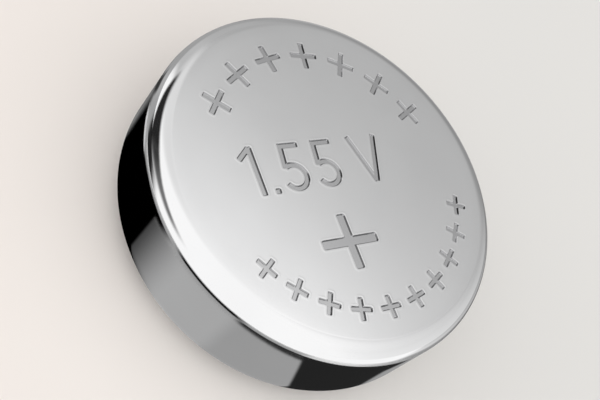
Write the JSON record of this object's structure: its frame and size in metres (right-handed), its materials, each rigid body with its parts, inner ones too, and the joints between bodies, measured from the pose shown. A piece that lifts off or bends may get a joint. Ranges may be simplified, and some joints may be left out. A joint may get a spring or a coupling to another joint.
{
  "type": "silver oxide button cell",
  "caption": "Small round crimped cell: steel can with a flat positive face and rounded edge, insulating ring, and raised flat negative cap.",
  "frame": {"origin": "centre of the negative cap's flat contact face", "axes": "+Z along the cell's axis, from the negative contact towards the positive face"},
  "size_m": [0.0068, 0.0068, 0.0022],
  "materials": {
    "can_steel": "nickel plated, satin face and polished wall",
    "gasket_nylon": "moulded nylon",
    "cap_steel": "nickel clad, satin",
    "silver_oxide": "pressed powder, matte",
    "separator_membrane": "laminated film",
    "absorbent_fibre": "soaked non-woven fibre",
    "zinc_paste": "dull gelled metal powder"
  },
  "bodies": {
    "root": {"positive_can": "can_steel", "sealing_gasket": "gasket_nylon", "negative_cap": "cap_steel", "cathode_pellet": "silver_oxide", "separator_film": "separator_membrane", "absorbent_pad": "absorbent_fibre", "zinc_anode": "zinc_paste"}
  },
  "joints": []
}
